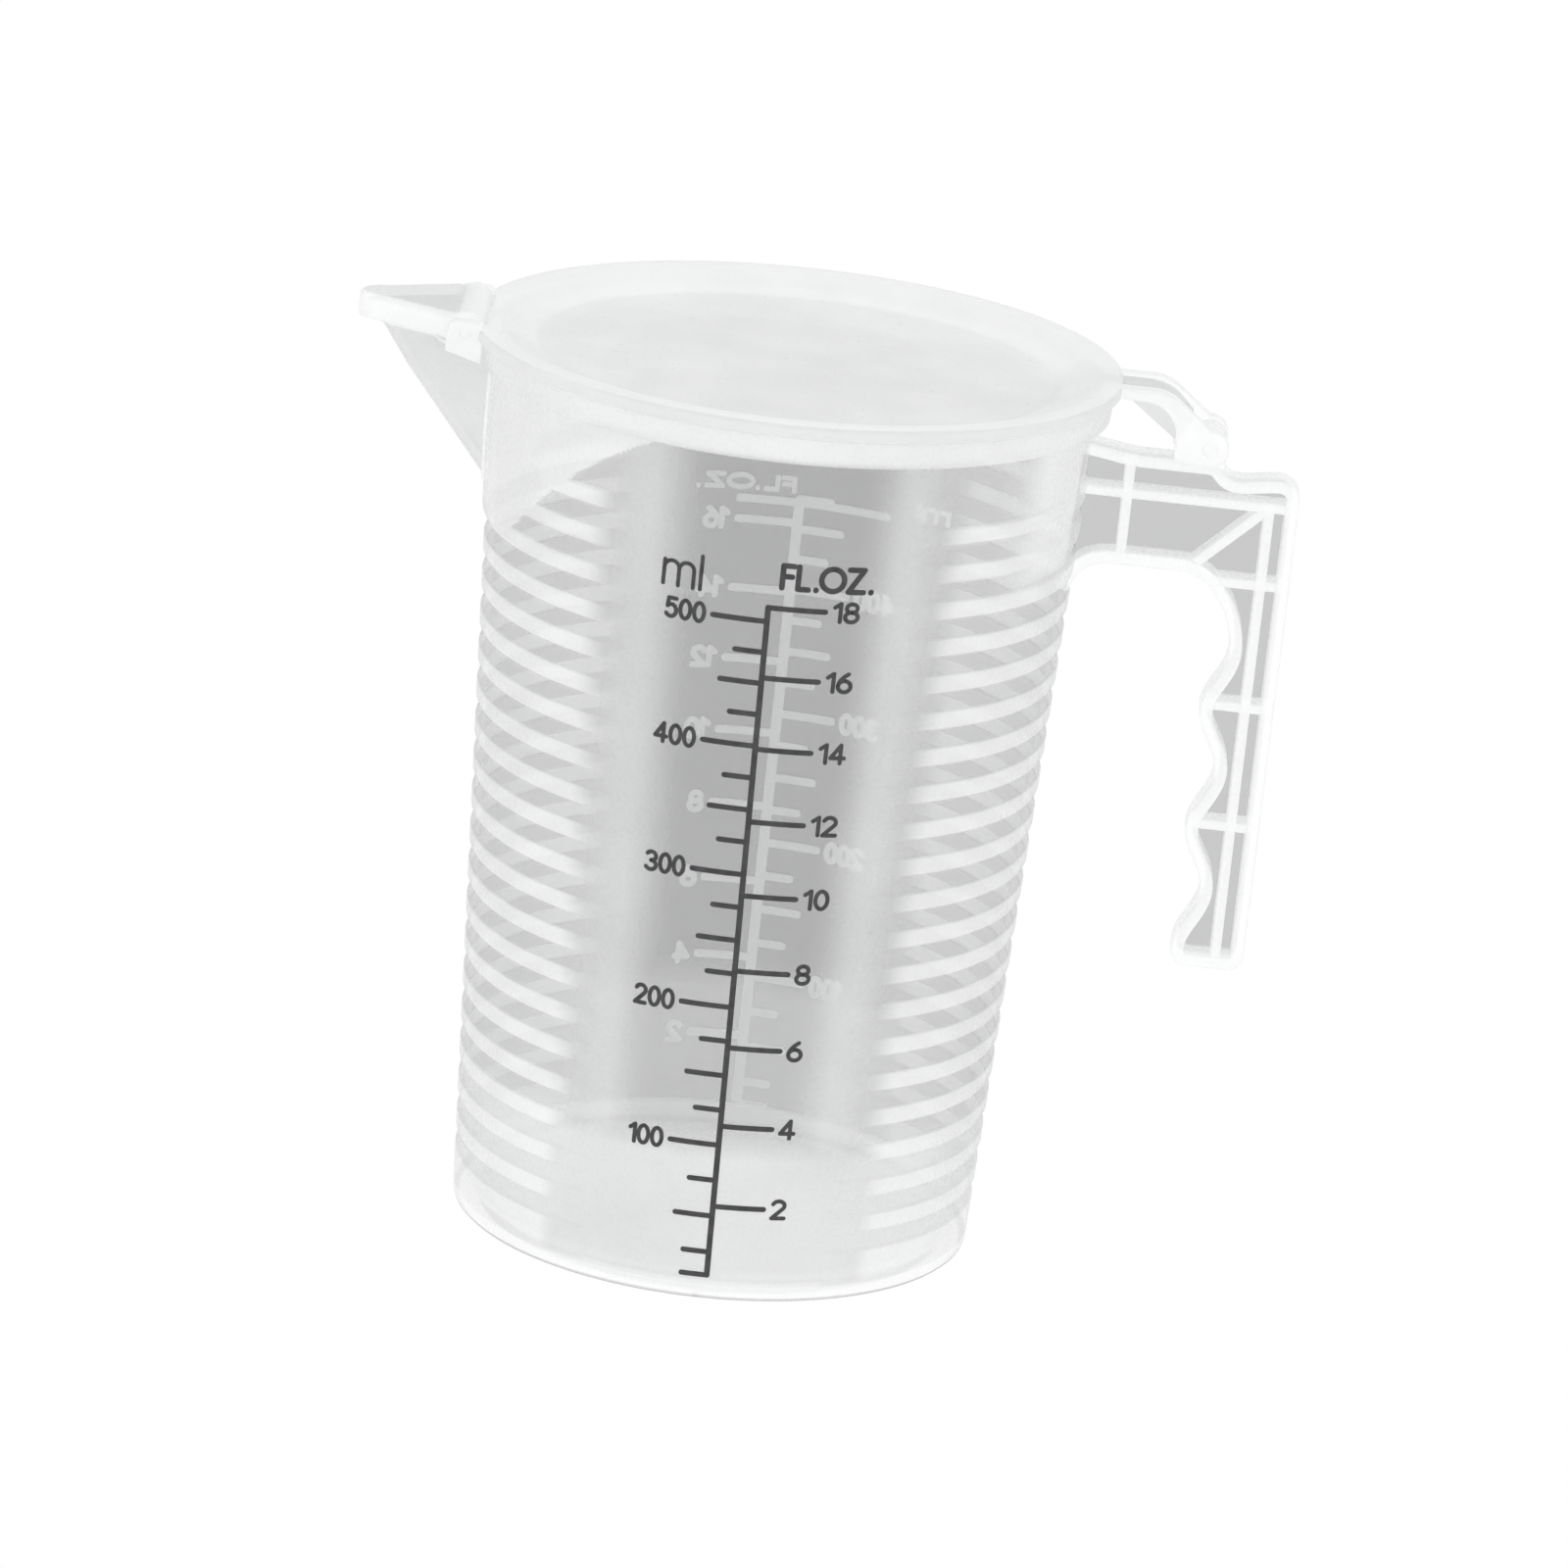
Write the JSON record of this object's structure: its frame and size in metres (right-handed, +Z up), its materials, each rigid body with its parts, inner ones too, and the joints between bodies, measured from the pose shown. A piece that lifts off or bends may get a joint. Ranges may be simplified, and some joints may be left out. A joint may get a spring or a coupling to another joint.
{
  "type": "measuring cup",
  "caption": "Tapered translucent plastic measuring jug with a printed capacity scale, side handle, hinged dished lid and a flip-up cover over its pouring spout.",
  "frame": {"origin": "middle of the base, on the surface the cup stands on", "axes": "+Z up, +X towards the handle, -X towards the spout, -Y towards the side with the printed scale"},
  "size_m": [0.1389, 0.0948, 0.1361],
  "materials": {
    "clear_plastic": "glossy translucent polypropylene, thin walls see-through",
    "milky_plastic": "satin milky polypropylene",
    "black_ink": "flat printed ink"
  },
  "bodies": {
    "jug": {"vessel": "clear_plastic", "pouring_spout": "clear_plastic", "handle": "clear_plastic", "printed_scale": "black_ink", "lid_hinge_pin": "milky_plastic"},
    "lid": {"lid": "milky_plastic", "spout_hinge_pin": "milky_plastic"},
    "spout_cover": {"spout_cover": "milky_plastic"}
  },
  "joints": [
    {"name": "lid_hinge", "type": "hinge", "parent": "jug", "child": "lid", "pos_m": [0.06079, 0, 0.1263], "axis": [0, 1, 0], "range_deg": [0, 120]},
    {"name": "spout_cover_hinge", "type": "hinge", "parent": "lid", "child": "spout_cover", "pos_m": [-0.04779, 0, 0.1334], "axis": [0, 1, 0], "range_deg": [0, 105]}
  ]
}
